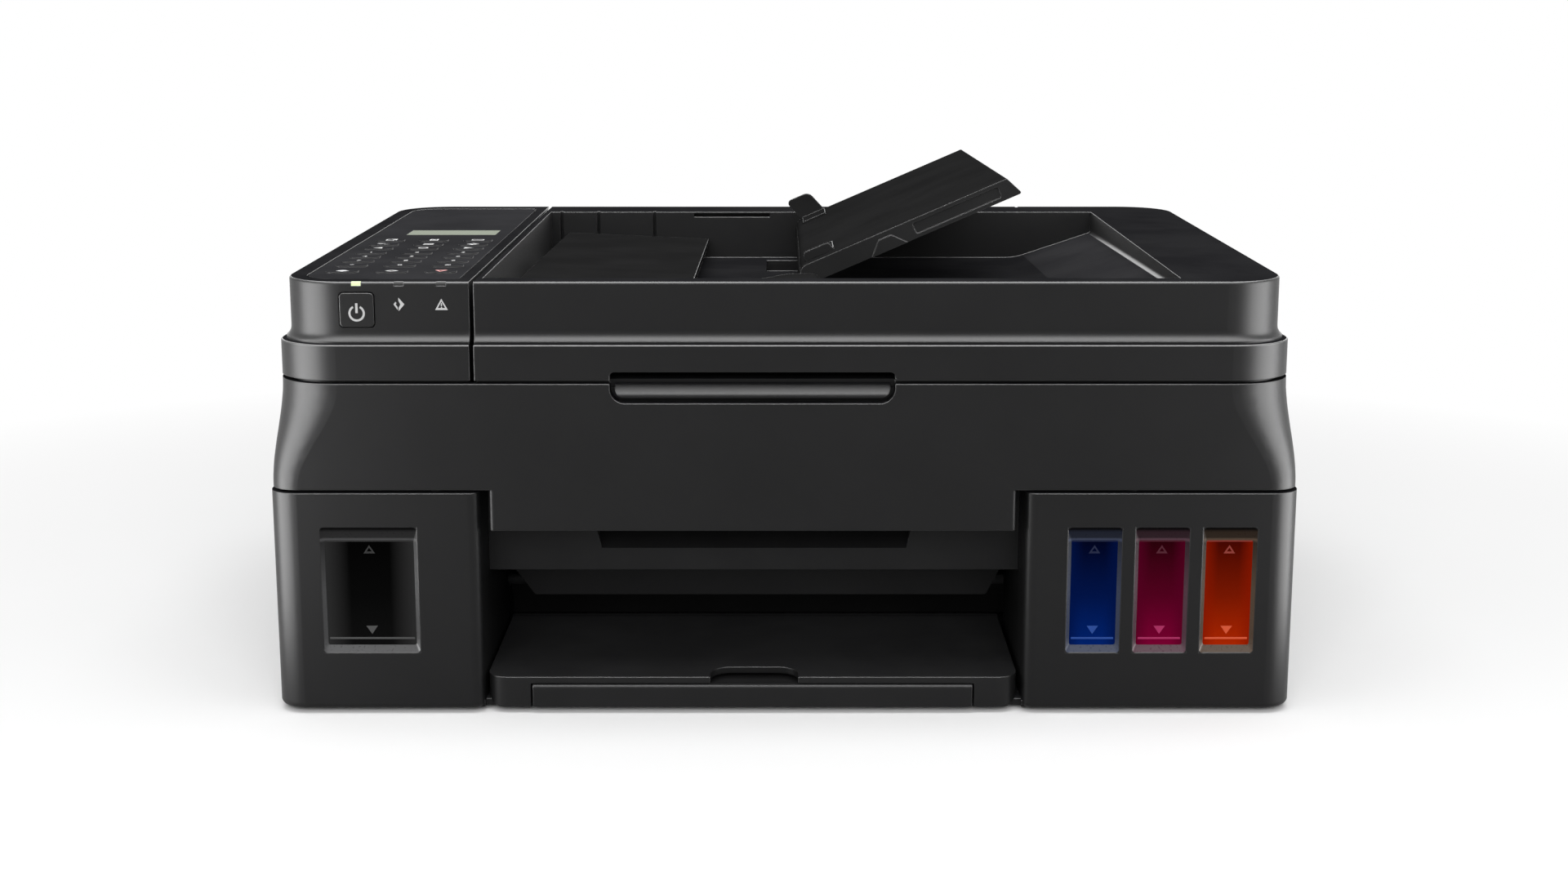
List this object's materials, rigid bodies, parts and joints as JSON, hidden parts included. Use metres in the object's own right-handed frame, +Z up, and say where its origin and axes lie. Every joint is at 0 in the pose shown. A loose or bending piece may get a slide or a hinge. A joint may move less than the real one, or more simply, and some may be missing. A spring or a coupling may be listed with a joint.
{
  "type": "inkjet printer",
  "caption": "Desktop inkjet printer with refillable ink tanks behind sight windows, flatbed scanner, sheet-fed document feeder, rear paper feed and slide-out output tray.",
  "frame": {"origin": "middle of the footprint on the surface the feet stand on", "axes": "+X to the right seen from the front, +Y to the back, +Z up"},
  "size_m": [0.445, 0.33, 0.2299],
  "materials": {
    "case_plastic": "fine satin texture",
    "inner_plastic": "matt",
    "panel_film": "satin film",
    "foot_rubber": "matt",
    "roller_rubber": "matt",
    "rail_steel": "brushed",
    "gear_plastic": "matt",
    "scan_glass": "clear",
    "pad_foam": "soft matt",
    "board": "solder mask",
    "connector": "moulded",
    "supply_case": "moulded",
    "display": "clear window over a pale grey display",
    "lamp": "clear lens",
    "cap_rubber": "matt",
    "ink_black": "clear tank with black ink",
    "ink_cyan": "clear tank with cyan ink",
    "ink_magenta": "clear tank with magenta ink",
    "ink_yellow": "clear tank with yellow ink"
  },
  "bodies": {
    "base": {"base_tray": "case_plastic", "rubber_feet": "foot_rubber", "left_case": "case_plastic", "right_case": "case_plastic", "rear_case": "case_plastic", "ink_tank_black": "ink_black", "ink_tank_cyan": "ink_cyan", "ink_tank_magenta": "ink_magenta", "ink_tank_yellow": "ink_yellow", "tank_caps": "cap_rubber", "left_tank_lid": "case_plastic", "right_tank_lid": "case_plastic", "rear_ports": "connector", "main_board": "board", "power_supply": "supply_case", "print_frame": "inner_plastic", "platen": "inner_plastic", "chassis_rail": "rail_steel", "drive_belt": "roller_rubber", "drive_motors": "rail_steel", "purge_unit": "inner_plastic", "rear_feeder": "inner_plastic", "exit_frame": "inner_plastic", "scanner_hinges": "inner_plastic"},
    "feed_roller": {"feed_roller": "rail_steel"},
    "idler_gear": {"idler_gear": "gear_plastic"},
    "eject_roller": {"eject_roller": "roller_rubber"},
    "motor_pulley": {"motor_pulley": "rail_steel"},
    "belt_idler": {"belt_idler": "gear_plastic"},
    "pick_roller": {"pick_roller": "roller_rubber"},
    "paper_support": {"paper_support": "case_plastic"},
    "output_tray": {"output_tray": "case_plastic"},
    "output_support": {"output_support": "case_plastic"},
    "scan_bar": {"scan_bar": "inner_plastic"},
    "power_button": {"power_button": "panel_film"},
    "adf_roller": {"adf_roller": "roller_rubber"},
    "document_tray": {"document_tray": "case_plastic"},
    "document_guide_front": {"document_guide_front": "inner_plastic"},
    "document_guide_rear": {"document_guide_rear": "inner_plastic"},
    "carriage": {"carriage": "inner_plastic", "print_cartridges": "gear_plastic"},
    "scanning_unit": {"scanner_case": "case_plastic", "scanner_bottom": "inner_plastic", "platen_frame": "case_plastic", "platen_glass": "scan_glass", "scan_rod": "rail_steel", "panel_case": "case_plastic", "key_sheet": "panel_film", "display_window": "display", "lamp_lenses": "lamp", "cover_hinges": "inner_plastic"},
    "document_cover": {"cover_shell": "case_plastic", "pressure_pad": "pad_foam", "adf_guide": "inner_plastic"}
  },
  "joints": [
    {"name": "scanning_unit_hinge", "type": "hinge", "parent": "base", "child": "scanning_unit", "pos_m": [0, 0.146, 0.15], "axis": [-1, 0, 0], "range_deg": [0, 35]},
    {"name": "document_cover_hinge", "type": "hinge", "parent": "scanning_unit", "child": "document_cover", "pos_m": [0, 0.148, 0.16], "axis": [-1, 0, 0], "range_deg": [0, 60]},
    {"name": "document_tray_hinge", "type": "hinge", "parent": "document_cover", "child": "document_tray", "pos_m": [0.0104, 0, 0.185], "axis": [0, -1, 0], "range_deg": [0, 153]},
    {"name": "document_guide_slide", "type": "slide", "parent": "document_tray", "child": "document_guide_front", "axis": [0, 1, 0], "range_m": [0, 0.05]},
    {"name": "document_guide_rear_slide", "type": "slide", "parent": "document_tray", "child": "document_guide_rear", "axis": [0, 1, 0], "range_m": [-0.05, 0]},
    {"name": "adf_roller_spin", "type": "hinge", "parent": "document_cover", "child": "adf_roller", "pos_m": [-0.112, 0, 0.167], "axis": [0, 1, 0], "continuous": true},
    {"name": "scan_bar_slide", "type": "slide", "parent": "scanning_unit", "child": "scan_bar", "axis": [1, 0, 0], "range_m": [0, 0.3]},
    {"name": "power_button_press", "type": "slide", "parent": "scanning_unit", "child": "power_button", "axis": [0, 1, 0], "range_m": [0, 0.001], "stiffness_N_per_m": 400},
    {"name": "carriage_slide", "type": "slide", "parent": "base", "child": "carriage", "axis": [-1, 0, 0], "range_m": [0, 0.25]},
    {"name": "motor_pulley_spin", "type": "hinge", "parent": "base", "child": "motor_pulley", "pos_m": [0.19, 0.056, 0.069], "axis": [0, 0, 1], "range_deg": [-2400, 0]},
    {"name": "belt_idler_spin", "type": "hinge", "parent": "base", "child": "belt_idler", "pos_m": [-0.19, 0.056, 0.069], "axis": [0, 0, 1], "range_deg": [-2400, 0]},
    {"name": "feed_roller_spin", "type": "hinge", "parent": "base", "child": "feed_roller", "pos_m": [0, 0.036, 0.03], "axis": [1, 0, 0], "continuous": true},
    {"name": "idler_gear_spin", "type": "hinge", "parent": "base", "child": "idler_gear", "pos_m": [-0.1465, -0.006, 0.03], "axis": [1, 0, 0], "continuous": true},
    {"name": "eject_roller_spin", "type": "hinge", "parent": "base", "child": "eject_roller", "pos_m": [0, -0.048, 0.03], "axis": [1, 0, 0], "continuous": true},
    {"name": "pick_roller_spin", "type": "hinge", "parent": "base", "child": "pick_roller", "pos_m": [0, 0.11685, 0.06815], "axis": [1, 0, 0], "continuous": true},
    {"name": "paper_support_slide", "type": "slide", "parent": "base", "child": "paper_support", "axis": [0, 0.6018, 0.7986], "range_m": [0, 0.045]},
    {"name": "output_tray_slide", "type": "slide", "parent": "base", "child": "output_tray", "axis": [0, -1, 0], "range_m": [0, 0.09]},
    {"name": "output_support_slide", "type": "slide", "parent": "output_tray", "child": "output_support", "axis": [0, -1, 0], "range_m": [0, 0.065]}
  ],
  "couplings": [
    {"joint": "document_guide_rear_slide", "follows": "document_guide_slide", "ratio": -1},
    {"joint": "motor_pulley_spin", "follows": "carriage_slide", "rad_per_m": -166.67},
    {"joint": "belt_idler_spin", "follows": "carriage_slide", "rad_per_m": -166.67},
    {"joint": "idler_gear_spin", "follows": "feed_roller_spin", "ratio": -0.90909},
    {"joint": "eject_roller_spin", "follows": "feed_roller_spin", "ratio": 1}
  ]
}
